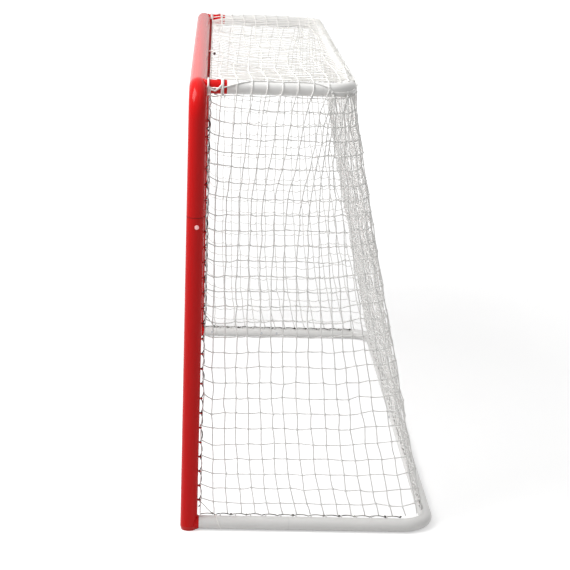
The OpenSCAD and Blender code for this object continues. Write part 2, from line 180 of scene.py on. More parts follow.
def paintedTube():
    # sprayed enamel: faint mottling, scuffs, dust on upward faces, painted shade in the seam of a joint for
    # the shadow of its groove, orange peel
    tree, start, end = newGroup("paintedTube", {
        "Paint": None, "Worn": None, "Painted Seam Shade": None, "Dust": 0.1, "Roughness": 0.25,
        "Peel Scale": 300.0, "Seam Height": -1.0, "Seam Width": 0.001})
    place = tree.nodes.new("ShaderNodeTexCoord").outputs["Object"]
    mottle = noiseNode(tree, place, *enamelSet["mottleNoise"])
    scuff = rampNode(tree, noiseNode(tree, place, *enamelSet["scuffNoise"]), *enamelSet["scuffEdge"])
    facing = splitNode(tree, tree.nodes.new("ShaderNodeNewGeometry").outputs["Normal"])
    dusty = product(tree, mathNode(tree, "MAXIMUM", facing["Z"], 0.0), start["Dust"])
    worn = product(tree, product(tree, scuff, mottle), enamelSet["scuffShare"])
    mask = total(tree, total(tree, worn, dusty), product(tree, mottle, enamelSet["mottleShare"]))
    paint = mixColour(tree, mask, start["Paint"], start["Worn"])
    away = mathNode(tree, "SUBTRACT", splitNode(tree, place)["Z"], start["Seam Height"])
    away = mathNode(tree, "DIVIDE", mathNode(tree, "ABSOLUTE", away), start["Seam Width"])
    # painted shade: a thin dark band at the joint's height stands in for the shadow in the seam's groove
    seam = rampNode(tree, away, *enamelSet["seamEdge"])
    feed(tree, mixColour(tree, seam, paint, start["Painted Seam Shade"]), end["Color"])
    extra = product(tree, total(tree, mask, seam), enamelSet["wornRoughness"])
    feed(tree, total(tree, start["Roughness"], extra), end["Roughness"])
    peel = noiseNode(tree, place, start["Peel Scale"], enamelSet["peelDetail"])
    feed(tree, mathNode(tree, "SUBTRACT", peel, seam), end["Height"])
    return tree


twineSet = {
    "patchDetail": 4.0,
    "patchEdge": (0.4, 0.6),  # noise values at which a patch starts and is full: dirt on most cords, painted shadow on the base lacing
    "hollowShadeShare": 0.7,  # how far the colour goes to the painted shade of the hollow between two yarns
    "fuzzNoise": (900.0, 2.0),  # scale and detail
    "fuzzRoughness": 0.2,
    "roughness": 0.7,
}


def braidedTwine():
    # two hands of yarn crossing round the cord, from the cord's own map: u runs along it, v round it; the
    # hollows between the yarns get painted shade
    tree, start, end = newGroup("braidedTwine", {
        "Yarn": None, "Painted Hollow Shade": None, "Turns": 1.0, "Yarns": 3.0, "Soiling And Painted Shadow": 0.1, "Patch Scale": 9.0})
    place = tree.nodes.new("ShaderNodeTexCoord").outputs
    split = splitNode(tree, place["UV"])
    along = product(tree, split["X"], start["Turns"])
    around = product(tree, split["Y"], start["Yarns"])
    waves = []
    for hand in ("ADD", "SUBTRACT"):
        phase = product(tree, mathNode(tree, hand, around, along), 2 * math.pi)
        waves.append(mathNode(tree, "ABSOLUTE", mathNode(tree, "COSINE", phase)))
    height = mathNode(tree, "MAXIMUM", *waves)
    # patches: dirt on most cords; on the base lacing they are painted shadow between its loops
    soilingAndShadow = noiseNode(tree, place["Object"], start["Patch Scale"], twineSet["patchDetail"])
    soilingAndShadow = product(tree, rampNode(tree, soilingAndShadow, *twineSet["patchEdge"]), start["Soiling And Painted Shadow"])
    # painted shade: the colour goes towards the darker hollow colour between the yarns
    shade = product(tree, mathNode(tree, "SUBTRACT", 1.0, height), twineSet["hollowShadeShare"])
    feed(tree, mixColour(tree, total(tree, shade, soilingAndShadow), start["Yarn"], start["Painted Hollow Shade"]), end["Color"])
    fuzz = product(tree, noiseNode(tree, place["Object"], *twineSet["fuzzNoise"]), twineSet["fuzzRoughness"])
    feed(tree, total(tree, fuzz, twineSet["roughness"]), end["Roughness"])
    feed(tree, height, end["Height"])
    return tree


platingSet = {
    "stretch": (1.0, 1.0, 0.08),  # the scratches run along Z
    "scratchDetail": 5.0,
    "mottleNoise": (120.0, 3.0),  # scale and detail
    "scratchRoughness": 0.3,
    "roughness": 0.2,
}


def brushedMetal():
    # fine scratches along the part and darker mottling in the plating
    tree, start, end = newGroup("brushedMetal", {"Bright": None, "Dull": None, "Scratch Scale": 400.0})
    place = tree.nodes.new("ShaderNodeTexCoord").outputs["Object"]
    stretch = tree.nodes.new("ShaderNodeMapping")
    feedAll(tree, stretch.inputs, {"Vector": place, "Scale": platingSet["stretch"]})
    scratch = noiseNode(tree, stretch.outputs[0], start["Scratch Scale"], platingSet["scratchDetail"])
    mottle = noiseNode(tree, place, *platingSet["mottleNoise"])
    feed(tree, mixColour(tree, mottle, start["Bright"], start["Dull"]), end["Color"])
    rough = product(tree, scratch, platingSet["scratchRoughness"])
    feed(tree, total(tree, rough, platingSet["roughness"]), end["Roughness"])
    feed(tree, scratch, end["Height"])
    return tree


def finishMaterial(name, group, values, bump, plain):
    # group gives colour, roughness and height; bump is its strength and depth in metres;
    # plain sets the shader's own sockets
    material, tree = newMaterial(name)
    shader = tree.nodes["Principled BSDF"].inputs
    pattern = tree.nodes.new("ShaderNodeGroup")
    pattern.node_tree = group
    feedAll(tree, pattern.inputs, values)
    made = pattern.outputs
    relief = tree.nodes.new("ShaderNodeBump")
    feedAll(tree, relief.inputs, {"Strength": bump[0], "Distance": bump[1], "Height": made["Height"]})
    feedAll(tree, shader, {"Base Color": made["Color"], "Roughness": made["Roughness"],
                           "Normal": relief.outputs["Normal"], **plain})
    return material


paintGroup, twineGroup, metalGroup = paintedTube(), braidedTwine(), brushedMetal()

# its dark seam colour is painted shade, a line at the posts' joint for the shadow in the groove
redEnamel = finishMaterial(
    "redEnamel", paintGroup,
    {"Paint": (0.64, 0.004, 0.004, 1), "Worn": (0.42, 0.015, 0.013, 1), "Painted Seam Shade": (0.30, 0.006, 0.006, 1),
     "Dust": 0.03, "Roughness": 0.2, "Peel Scale": 260.0,
     "Seam Height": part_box("right_post")[1].z, "Seam Width": 0.0009},
    (0.12, 0.0006), {"Specular IOR Level": 0.06, "Coat Weight": 0.15, "Coat Roughness": 0.06},
)
whiteEnamel = finishMaterial(
    "whiteEnamel", paintGroup,
    {"Paint": (0.82, 0.815, 0.80, 1), "Worn": (0.55, 0.54, 0.52, 1), "Painted Seam Shade": (0.3, 0.3, 0.3, 1),
     "Dust": 0.02, "Roughness": 0.28, "Peel Scale": 260.0},
    (0.12, 0.0006), {"Specular IOR Level": 0.4, "Coat Weight": 0.2, "Coat Roughness": 0.1},
)
footPlastic = finishMaterial(
    "footPlastic", paintGroup,
    {"Paint": (0.55, 0.007, 0.006, 1), "Worn": (0.34, 0.04, 0.03, 1), "Painted Seam Shade": (0.1, 0.02, 0.02, 1),
     "Dust": 0.06, "Roughness": 0.42, "Peel Scale": 900.0},
    (0.35, 0.0004), {"Specular IOR Level": 0.3},
)
# painted reflection: the pale pink of this plated button stands in for the red post mirrored in it
buttonSteelPaintedReflection = finishMaterial(
    "buttonSteelPaintedReflection", metalGroup,
    {"Bright": (0.98, 0.56, 0.56, 1), "Dull": (0.84, 0.44, 0.43, 1), "Scratch Scale": 500.0},
    (0.1, 0.0003), {"Metallic": 0.5},
)
springSteel = finishMaterial(
    "springSteel", metalGroup,
    {"Bright": (0.42, 0.43, 0.46, 1), "Dull": (0.22, 0.23, 0.26, 1), "Scratch Scale": 700.0},
    (0.1, 0.0003), {"Metallic": 1.0},
)
zincSteel = finishMaterial(
    "zincSteel", metalGroup,
    {"Bright": (0.66, 0.67, 0.68, 1), "Dull": (0.42, 0.43, 0.46, 1), "Scratch Scale": 300.0},
    (0.15, 0.0003), {"Metallic": 1.0},
)
netTwine = finishMaterial(
    "netTwine", twineGroup,
    {"Yarn": (0.95, 0.945, 0.925, 1), "Painted Hollow Shade": (0.84, 0.835, 0.81, 1),
     "Turns": 130.0, "Yarns": 3.0, "Soiling And Painted Shadow": 0.06},
    (0.35, 0.0003), {"Specular IOR Level": 0.25},
)
# painted light: a lighter copy of the net's twine for the top panel, standing in for the stronger light on
# its upward strands
topTwinePaintedLight = finishMaterial(
    "topTwinePaintedLight", twineGroup,
    {"Yarn": (0.97, 0.96, 0.93, 1), "Painted Hollow Shade": (0.86, 0.845, 0.81, 1),
     "Turns": 130.0, "Yarns": 3.0, "Soiling And Painted Shadow": 0.05},
    (0.35, 0.0003), {"Specular IOR Level": 0.25},
)
borderTwine = finishMaterial(
    "borderTwine", twineGroup,
    {"Yarn": (0.98, 0.97, 0.945, 1), "Painted Hollow Shade": (0.80, 0.785, 0.745, 1),
     "Turns": 90.0, "Yarns": 4.0, "Soiling And Painted Shadow": 0.1},
    (0.5, 0.0005), {"Specular IOR Level": 0.25},
)
lacingTwine = finishMaterial(
    "lacingTwine", twineGroup,
    {"Yarn": (0.095, 0.055, 0.055, 1), "Painted Hollow Shade": (0.03, 0.02, 0.02, 1),
     "Turns": 100.0, "Yarns": 4.0, "Soiling And Painted Shadow": 0.25},
    (0.5, 0.0005), {"Specular IOR Level": 0.3},
)
# painted shade: the grey yarn and the large dark patches stand in for the shade of a white cord and the
# shadows between its loops on the base tube
baseTwinePaintedShade = finishMaterial(
    "baseTwinePaintedShade", twineGroup,
    {"Yarn": (0.52, 0.51, 0.48, 1), "Painted Hollow Shade": (0.05, 0.05, 0.045, 1),
     "Turns": 100.0, "Yarns": 4.0, "Soiling And Painted Shadow": 0.9, "Patch Scale": 38.0},
    (0.5, 0.0005), {"Specular IOR Level": 0.3},
)

slotLooks = {
    "red_enamel": redEnamel, "white_enamel": whiteEnamel, "foot_plastic": footPlastic,
    "button_steel": buttonSteelPaintedReflection, "spring_steel": springSteel, "zinc_steel": zincSteel,
    "net_cord": netTwine, "lacing_cord": lacingTwine,
}
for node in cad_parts.values():
    for place in node.material_slots:
        place.material = slotLooks[place.material.name.split(".")[0]]

print("cord makers")

cordSet = {
    "twine": 0.00165,  # radius of the net's twine
    "twineSides": 5,
    "lacing": 0.00155,  # radius of the dark lacing cord
    "border": 0.0027,  # radius of the white cord wound on the stubs
    "lacingSides": 8,
    "knot": 0.0026,  # radius of a knot's core
    "doubled": 1e-6,  # points closer than this count as one
    "upright": 0.1,  # a cord that leans less than this from upright takes its first side from Y
}
chance = random.Random(7)


def emptyNet():
    return {"points": [], "faces": [], "maps": []}


def addCord(net, route, radius, sides=cordSet["lacingSides"]):
    # a round cord swept along the route, with its map in metres along and turns round
    route = np.array(route, float)
    apart = np.linalg.norm(np.diff(route, axis=0), axis=1) > cordSet["doubled"]
    route = route[np.concatenate(([True], apart))]
    steps = np.diff(route, axis=0)
    lengths = np.linalg.norm(steps, axis=1)
    headings = steps / lengths[:, None]
    tangents = np.vstack((headings[:1], headings[:-1] + headings[1:], headings[-1:]))
    tangents /= np.linalg.norm(tangents, axis=1)[:, None]
    side = np.cross(tangents[0], (0.0, 0.0, 1.0))
    if np.linalg.norm(side) < cordSet["upright"]:
        side = np.cross(tangents[0], (0.0, 1.0, 0.0))
    start = len(net["points"])
    travel = np.concatenate(([0.0], np.cumsum(lengths)))
    angles = [2 * math.pi * i / sides for i in range(sides)]
    for place, tangent in zip(route, tangents):
        side = side - tangent * np.dot(side, tangent)
        side /= np.linalg.norm(side)
        other = np.cross(tangent, side)
        for angle in angles:
            net["points"].append(place + radius * (math.cos(angle) * side + math.sin(angle) * other))
    for ring in range(len(route) - 1):
        low, high = start + ring * sides, start + (ring + 1) * sides
        near, far = travel[ring], travel[ring + 1]
        for i in range(sides):
            after = (i + 1) % sides
            net["faces"].append((low + i, low + after, high + after, high + i))
            net["maps"].append(((near, i / sides), (near, (i + 1) / sides),
                                (far, (i + 1) / sides), (far, i / sides)))
    last = start + (len(route) - 1) * sides
    net["faces"].append(tuple(start + i for i in reversed(range(sides))))
    net["faces"].append(tuple(last + i for i in range(sides)))
    net["maps"].append(((0.0, 0.5),) * sides)
    net["maps"].append(((travel[-1], 0.5),) * sides)


def addTwine(net, route):
    addCord(net, route, cordSet["twine"], cordSet["twineSides"])


knotSet = {
    "coreSides": (6, 4),
    "coreShape": (0.95, 1.15, 1.0),
    "turnSides": (7, 3),
    "turnRadii": (0.95, 0.42),
    "turnTilt": (62, 24),  # degrees
    "lean": 0.5,  # radians, the most either way
    "sizes": (0.9, 1.12),
    "mapScales": (0.004, 0.2),  # from the knot's Z and X to the map's two directions
}


def knotShape():
    # a pulled-up knot: a squat core with one turn of twine lying askew over it
    deselectAll()
    segments, rings = knotSet["coreSides"]
    bpy.ops.mesh.primitive_uv_sphere_add(segments=segments, ring_count=rings, radius=1.0)
    core = bpy.context.object
    core.data.transform(Matrix.Diagonal(knotSet["coreShape"]).to_4x4())
    around, across = knotSet["turnSides"]
    major, minor = knotSet["turnRadii"]
    tilt = [math.radians(angle) for angle in knotSet["turnTilt"]]
    bpy.ops.mesh.primitive_torus_add(major_segments=around, minor_segments=across, major_radius=major,
                                     minor_radius=minor, rotation=(*tilt, 0))
    bpy.ops.object.transform_apply(location=False, rotation=True, scale=False)
    turn = bpy.context.object
    points, faces = [], []
    for part in (core, turn):
        first = len(points)
        points += [np.array(v.co) for v in part.data.vertices]
        faces += [tuple(first + i for i in p.vertices) for p in part.data.polygons]
        bpy.data.objects.remove(part)
    return np.array(points), sorted(faces)


knotPoints, knotFaces = knotShape()


def addKnot(net, place, radius):
    lean = knotSet["lean"]
    spin = np.array(Matrix.Rotation(chance.uniform(0, 2 * math.pi), 3, "Z")
                    @ Matrix.Rotation(chance.uniform(-lean, lean), 3, "X"))
    start = len(net["points"])
    net["points"] += list(knotPoints @ spin.T * radius * chance.uniform(*knotSet["sizes"]) + np.array(place))
    along, across = knotSet["mapScales"]
    for face in knotFaces:
        net["faces"].append(tuple(start + i for i in face))
        net["maps"].append(tuple((knotPoints[i][2] * along, knotPoints[i][0] * across) for i in face))


def buildPiece(name, net, material, slotName, *nodes):
    mesh = bpy.data.meshes.new(name)
    mesh.from_pydata(net["points"], [], net["faces"])
    layer = mesh.uv_layers.new(name="cordMap")
    layer.data.foreach_set("uv", np.array([c for face in net["maps"] for c in face], np.float32).ravel())
    mesh.polygons.foreach_set("use_smooth", [True] * len(mesh.polygons))
    mesh.materials.append(material)
    mesh.update()
    piece = bpy.data.objects.new(name, mesh)
    bpy.context.collection.objects.link(piece)
    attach(piece, goalBody)
    if nodes:
        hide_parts(*nodes)
    print("  ", name, len(mesh.polygons), "faces")


print("net shape")


def centreOf(node):
    low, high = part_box(node)
    return [(low[axis] + high[axis]) / 2 for axis in range(3)]


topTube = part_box("right_top_side")
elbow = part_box("right_top_elbow")
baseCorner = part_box("right_base_corner")
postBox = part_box("right_post")
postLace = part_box("right_post_lacing")
tubeRadius = (topTube[1].z - topTube[0].z) / 2
postX = centreOf("right_post_lacing")[0]
baseTube = centreOf("right_base_front")

netSet = {
    "rows": 28,
    "sideCols": 16,  # from the post to the corner line
    "rearCols": 46,  # between the two corner lines
    "straightCols": 8,  # columns that reach the straight part of the top tube
    "lowZ": 0.043,
    "topZ": centreOf("right_top_side")[2],
    "frontY": -0.306,
    "topSpan": 0.041,  # spacing of the columns on the straight top tube
    "topStart": -0.316,  # where that spacing would put column 0
    "halfSeam": 0.00015,  # between the straight top tube and the elbow
    "elbowEnd": 0.014,  # straight part of the elbow before its bend starts
    "baseBend": 0.076,
    "baseInset": 0.0107,  # the base line of the net lies this far inside the tube's axis
    "crowd": 0.12,  # how much closer the rear columns are at the corners
    "postFade": 1.4,  # columns over which the net leans out to the lacing on the post
    "postFadeTop": 0.05,  # that lean ends between the top tube and this far below the lacing's end
    "topSag": 0.036,
    "jitter": 0.0016,
    "depthJitter": 0.0028,
    "drift": 0.0007,  # sideways wander of a column between two knots
    "strandSteps": (0.0, 0.34, 0.67),  # shares of a column's bar at which it has a point
    "knotSeed": 1000,  # times the column, and the row added
    "panelSeed": 5,
}
bowSet = {  # how far the columns bow forwards, halfway up
    "start": 0.004,
    "perCol": 0.0084,
    "fold": (0.067, 0.058, 0.046, 0.038, 0.035, 0.032, 0.03, 0.023, 0.014),  # columns 8 to 16
    "rear": 0.02,
    "growth": 3.5,  # columns over which the rear bow builds up from the corner line
    "lowPart": 0.76,  # share of the bow that a column's lower part keeps
    "lowPartLoss": 0.26,  # given up between the next two columns
    "lossCols": (13, 16),
    "lowBlend": (0.1, 0.65),  # heights between which the lower part's share ends
    "topSlack": 0.22,  # share of the bow that a side column gives up just under the tube
    "slackFrom": 0.72,
    "slackCols": (12, 8),
}
bellySet = {  # how far the net hangs inwards
    "side": 0.022,
    "rear": 0.02,
    "rise": 3,  # columns over which the rear belly builds up
    "fade": 4,  # and those over which it fades
    "lowPart": 0.8,
}
rowSet = {  # how far rows lie from even spacing
    "lowRow": 21,  # the rows above it hang lower, as their last bar goes over the tube
    "lowering": 0.0034,
    "regain": 0.005,
    "regainRows": (20, 24),
    "slack": 0.013,  # gathers above the base
    "slackRow": 2.5,
    "slackSpread": 6,
    "lacedCols": 6,  # the rows rise towards the lacing on the post
    "lowLift": (0.018, 0.5),  # the rise and the columns over which it fades
    "highLift": (0.026, 1.6),
    "highRow": 20,
    "drawnUp": 0.016,  # by the gathered columns
    "drawnCols": (11, 15, 18, 24),
    "drawnShares": (0.05, 0.2, 0.5, 0.85),
}
gatherSet = {  # where columns are tied together at the top elbow
    "columns": ((9, 12), (13, 18)),
    "turns": (7, 39),  # degrees round the bend
    "rises": (-10, -17),  # degrees up from the tube's outer side
    "pull": 0.55,  # share of the way that the first row is drawn in
    "fadeRows": 1.7,
}
edgeSet = {  # the strand that closes the net over the top tubes, in degrees up from their outer side
    "rearRise": 48,
    "arch": (-4, 70),  # on the side tube, at its ends and between
    "archCols": (0.8, 3.1, 6.8, 8.9),
    "loose": 6,
    "wave": 8,
    "waveStep": 0.8,  # radians for each column
    "seed": 500,
    "share": 1.1,  # of the twine's radius
    "sides": 6,
    "gatherKnot": 1.25,
    "steps": 5,
}
overSet = {"first": 2, "clear": 5, "last": 86, "step": 12}  # degrees of a strand's points over the tube
lastCol = 2 * netSet["sideCols"] + netSet["rearCols"]
midCol = lastCol // 2
cornerCol = netSet["sideCols"]
leftCorner = lastCol - cornerCol
edgeRow = netSet["rows"] + 1  # the edge strand on the top tubes
topBend = (elbow[1].y - tubeRadius) - (topTube[1].y + (netSet["halfSeam"] + netSet["elbowEnd"]))
coverRadius = tubeRadius + cordSet["twine"]
mirrored = np.array((-1.0, 1.0, 1.0))

topX = topTube[1].x - tubeRadius
topLine = {"bend": topBend + coverRadius,
           "centreX": topX - topBend,
           "centreY": elbow[1].y - tubeRadius - topBend}
baseLine = {"bend": netSet["baseBend"] - netSet["baseInset"],
            "centreX": baseCorner[1].x - tubeRadius - netSet["baseBend"],
            "centreY": baseCorner[1].y - tubeRadius - netSet["baseBend"]}


def alongCorner(line, travel):
    # straight side, quarter bend, straight rear: the place and the outward direction
    straight = line["centreY"] - netSet["frontY"]
    bend = line["bend"] * math.pi / 2
    if travel <= straight:
        return line["centreX"] + line["bend"], netSet["frontY"] + travel, 1.0, 0.0
    if travel <= straight + bend:
        angle = (travel - straight) / line["bend"]
        x, y = math.cos(angle), math.sin(angle)
        return line["centreX"] + line["bend"] * x, line["centreY"] + line["bend"] * y, x, y
    return line["centreX"] - (travel - straight - bend), line["centreY"] + line["bend"], 0.0, 1.0


def nearOf(col):
    return min(col, lastCol - col)


def circleAt(degrees):
    return math.cos(math.radians(degrees)), math.sin(math.radians(degrees))


def travelOf(line, col, isTop):
    # how far along a line a column ends
    straight = line["centreY"] - netSet["frontY"]
    corner = straight + line["bend"] * math.pi / 4
    whole = straight + line["bend"] * math.pi / 2 + line["centreX"]
    if col >= cornerCol:
        share = (col - cornerCol) / netSet["rearCols"]
        crowd = netSet["crowd"] if isTop else 0.0
        share -= crowd * math.sin(2 * math.pi * share) / (2 * math.pi)
        return corner + 2 * share * (whole - corner)
    if not isTop:
        return corner * col / cornerCol
    firstCols = netSet["straightCols"]
    spaced = netSet["topStart"] + netSet["topSpan"] * min(col, firstCols) - netSet["frontY"]
    if col <= firstCols:
        return max(0.0, spaced)
    return spaced + (corner - spaced) * (col - firstCols) / (cornerCol - firstCols)


def topPlace(col):
    return alongCorner(topLine, travelOf(topLine, col, True))


def basePlace(col):
    return alongCorner(baseLine, travelOf(baseLine, col, False))


def smooth(low, high, value):
    t = min(1.0, max(0.0, (value - low) / (high - low)))
    return t * t * (3 - 2 * t)


def hump(marks, value):
    # 0 outside the outer two marks and 1 between the inner two
    return smooth(marks[0], marks[1], value) * smooth(marks[3], marks[2], value)


def rowHeight(col, row):
    rows = netSet["rows"]
    z = netSet["lowZ"] + (netSet["topZ"] - netSet["lowZ"]) / rows * row
    z -= rowSet["lowering"] * max(0, row - rowSet["lowRow"])
    z += rowSet["regain"] * smooth(*rowSet["regainRows"], row)
    if row > 0:
        z -= rowSet["slack"] * math.exp(-((row - rowSet["slackRow"]) / rowSet["slackSpread"]) ** 2)
    if col < rowSet["lacedCols"] and 0 < row < rows:
        lift, fade = rowSet["highLift"] if row > rowSet["highRow"] else rowSet["lowLift"]
        z += lift * math.exp(-col / fade)
    return z + rowSet["drawnUp"] * hump(rowSet["drawnCols"], col) * hump(rowSet["drawnShares"], row / rows)


def bow(col):
    if col <= 0:
        return 0.0
    if col < netSet["straightCols"]:
        return bowSet["perCol"] * col + bowSet["start"]
    if col <= cornerCol:
        return bowSet["fold"][col - netSet["straightCols"]]
    grown = 1 - math.exp(-(col - cornerCol) / bowSet["growth"])
    return bowSet["fold"][-1] + (bowSet["rear"] - bowSet["fold"][-1]) * grown


def hangShape(v, lowPart):
    # 0 at both ends of a column, 1 in its upper part and the share lowPart in its lower one
    shape = 1 - (2 * v - 1) ** 4
    return shape * (lowPart + (1 - lowPart) * smooth(*bowSet["lowBlend"], v))


def onTop(travel, rise):
    # a point on the top tubes' cover: rise 0 is the outer side, 90 the top
    x, y, outX, outY = alongCorner(topLine, travel)
    cosine, sine = circleAt(rise)
    back = coverRadius * (1 - cosine)
    return np.array((x - outX * back, y - outY * back, netSet["topZ"] + coverRadius * sine))


def bendTravel(turn):
    # how far along the top line a turn of the elbow lies, in radians
    return topLine["centreY"] - netSet["frontY"] + topLine["bend"] * turn


def gatherSpot(index):
    return bendTravel(math.radians(gatherSet["turns"][index])), gatherSet["rises"][index]


def gatherIndex(nearCol):
    for index, (first, last) in enumerate(gatherSet["columns"]):
        if first <= nearCol <= last:
            return index
    return None


def edgeSpot(nearCol):
    # travel and rise of the edge strand's knot on a column of the near half
    index = gatherIndex(nearCol)
    if index is not None:
        return gatherSpot(index)
    travel = travelOf(topLine, nearCol, True)
    loose = random.Random(nearCol + edgeSet["seed"]).uniform(-edgeSet["loose"], edgeSet["loose"])
    if nearCol <= netSet["straightCols"]:
        low, high = edgeSet["arch"]
        return travel, low + (high - low) * hump(edgeSet["archCols"], nearCol) + loose / 2
    return travel, edgeSet["rearRise"] + loose + edgeSet["wave"] * math.sin(nearCol * edgeSet["waveStep"])


def halfKnot(col, row):
    # knot of the half of the net on the +X side
    z = rowHeight(col, row)
    w = (z - netSet["lowZ"]) / (netSet["topZ"] - netSet["lowZ"])
    high, low = topPlace(col), basePlace(col)
    x, y = low[0] + (high[0] - low[0]) * w, low[1] + (high[1] - low[1]) * w
    laced = smooth(netSet["topZ"], postLace[1].z - netSet["postFadeTop"], z)
    x += (postX - x) * math.exp(-col / netSet["postFade"]) * laced
    lean = hangShape(w, bowSet["lowPart"] - bowSet["lowPartLoss"] * smooth(*bowSet["lossCols"], col))
    slack = math.sin(math.pi * smooth(bowSet["slackFrom"], 1.0, w))
    lean -= bowSet["topSlack"] * slack * smooth(*bowSet["slackCols"], col)
    belly = 0.0
    past = col - cornerCol
    if 0 < col < cornerCol:
        belly = bellySet["side"] * math.sin(math.pi * col / cornerCol) * (1 - (2 * w - 1) ** 2)
    elif past > 0:
        belly = bellySet["rear"] * min(1.0, past / bellySet["rise"]) * math.exp(-past / bellySet["fade"])
        belly *= hangShape(w, bellySet["lowPart"])
    place = np.array((x - belly, y - bow(col) * lean, z))
    index = gatherIndex(col)
    if index is not None:
        target = onTop(*gatherSpot(index))
        share = gatherSet["pull"] * math.exp(-(netSet["rows"] - row) / gatherSet["fadeRows"])
        place[:2] += (target[:2] - place[:2]) * share
    return place


@cache
def knotAt(col, row):
    # the far half mirrors the near one, with its own jitter
    nearCol = nearOf(col)
    if row > netSet["rows"]:
        place = onTop(*edgeSpot(nearCol))
    else:
        loose = random.Random(col * netSet["knotSeed"] + row)
        place = halfKnot(nearCol, row)
        if 0 < row:
            shift = [loose.gauss(0, netSet["jitter"]) for axis in range(3)]
            sideways = 0 if nearCol < cornerCol else 1
            shift[sideways] = loose.gauss(0, netSet["depthJitter"])
            if nearCol == 0:
                shift[0] = 0.0
            place = place + np.array(shift)
    return place * mirrored if col > midCol else place


slackSet = {
    "mesh": 0.043,  # length of one bar of the net
    "share": 0.42,  # a slack bar's droop, as a share of its spare reach
    "most": 0.016,
    "bunchedReach": 0.015,  # bars shorter than this are pulled together and hardly droop
    "bunchedShare": 0.3,
    "down": (0.25, 0.45),  # shares of the droop that go down and inwards
    "across": (0.55, 0.9),
    "skew": 0.75,  # below 1 a bar droops most near its first knot
    "steps": 5,
}


def slackBar(start, end, inward, loose):
    # one bar between two knots: the spare length drops down and inwards
    reach = np.linalg.norm(end - start)
    spare = math.sqrt(max(0.0, slackSet["mesh"] ** 2 - reach ** 2)) * slackSet["share"]
    spare = min(spare, slackSet["most"])
    if reach < slackSet["bunchedReach"]:
        spare *= slackSet["bunchedShare"]
    down = spare * loose.uniform(*slackSet["down"])
    across = spare * loose.uniform(*slackSet["across"])
    points = []
    for i in range(slackSet["steps"]):
        t = i / slackSet["steps"]
        swing = math.sin(math.pi * t ** slackSet["skew"])
        points.append(start + (end - start) * t + swing * (inward * across + np.array((0, 0, -down))))
    return points


def inwardAt(col):
    outX, outY = topPlace(nearOf(col))[2:]
    return np.array((outX if col > midCol else -outX, -outY, 0.0))


def columnRoute(col):
    route = []
    loose = random.Random(col)
    for row in range(netSet["rows"]):
        start, end = knotAt(col, row), knotAt(col, row + 1)
        drift = np.array((loose.gauss(0, netSet["drift"]), loose.gauss(0, netSet["drift"]), 0))
        for t in netSet["strandSteps"]:
            route.append(start + (end - start) * t + drift * math.sin(math.pi * t))
    route.append(knotAt(col, netSet["rows"]))
    nearCol = nearOf(col)
    if gatherIndex(nearCol) is None:  # over the outer side of the tube to the edge strand
        travel, strandRise = edgeSpot(nearCol)
        for rise in range(overSet["first"], int(strandRise) - overSet["clear"], overSet["step"]):
            place = onTop(travel, rise)
            route.append(place * mirrored if col > midCol else place)
    route.append(knotAt(col, edgeRow))
    return route


def wrapPanel(name, firstCol, lastPanelCol, lastBarCol, *nodes):
    # columns from firstCol to lastPanelCol, and rows of bars on to lastBarCol, where the next panel starts
    net = emptyNet()
    loose = random.Random(firstCol + netSet["panelSeed"])
    rows = range(1, netSet["rows"] + 1)
    for col in range(firstCol, lastPanelCol + 1):
        addTwine(net, columnRoute(col))
        for row in rows:
            addKnot(net, knotAt(col, row), cordSet["knot"])
    for row in rows:
        route = []
        for col in range(firstCol, lastBarCol):
            route += slackBar(knotAt(col, row), knotAt(col + 1, row), inwardAt(col), loose)
        addTwine(net, route + [knotAt(lastBarCol, row)])
    buildPiece(name, net, netTwine, "net_cord", *nodes)


wrapPanel("rightNet", 0, cornerCol, cornerCol + 1, "right_net")
wrapPanel("leftNet", leftCorner, lastCol, lastCol, "left_net")
wrapPanel("rearNetRight", cornerCol + 1, midCol, midCol + 1, "rear_net")
wrapPanel("rearNetLeft", midCol + 1, leftCorner - 1, leftCorner)

print("top panel")

topSet = {
    "rearY": elbow[1].y - tubeRadius,
    "frontZ": 0.0022,  # the front row lies this far above the crossbar's axis
    "frontFade": 0.16,  # share of the depth over which the net rises from there
    "rim": (0.92, 1.0),  # shares of the width between which the front row climbs onto the tube
    "sagAhead": 0.12,  # the sag starts this share of the depth ahead of the front row
    "sagPowers": (2.2, 0.6),  # across and along
    "sCurve": 0.0055,
    "curveTurns": (7.0, 0.35),  # radians for each metre across and each row
    "curveCols": (0.87, 0.6),
    "turnIn": (0.85, 1.0),  # shares of the width that follow the elbow inwards
    "lastRows": (0.045, 0.068),  # the rows past the straight side tube
    "firstX": 0.835,  # the first column inside the side tube
    "skipCols": 2,  # columns by the corner that end in the gathering
    "jitter": (0.0014, 0.0012, 0.001),
    "seeds": (97, 13, 3),
    "barSag": 0.0008,
    "tieSteps": 7,
    "rearRises": (90, 70, 52),  # degrees of a column's last points, over the rear tube
    "knotShare": 0.9,
}


def outerX(y):
    # the side tube's axis, which turns in along the elbow
    past = max(0.0, y - topLine["centreY"])
    return topLine["centreX"] + math.sqrt(max(0.0, topBend ** 2 - past ** 2))


def topHeight(x, y):
    edge = netSet["topZ"] + coverRadius
    outward = min(1.0, abs(x) / outerX(y))
    depth = (y - netSet["frontY"]) / (topSet["rearY"] - netSet["frontY"])
    ahead = topSet["sagAhead"]
    along = max(0.0, math.sin(math.pi * min(1.0, max(0.0, ahead + (1 - ahead) * depth))))
    powerAcross, powerAlong = topSet["sagPowers"]
    z = edge - netSet["topSag"] * (1 - outward ** powerAcross) * along ** powerAlong
    rise = smooth(*topSet["rim"], outward)
    frontZ = netSet["topZ"] + topSet["frontZ"] + (coverRadius - topSet["frontZ"]) * rise
    return z + (frontZ - z) * (1 - smooth(0.0, topSet["frontFade"], depth))


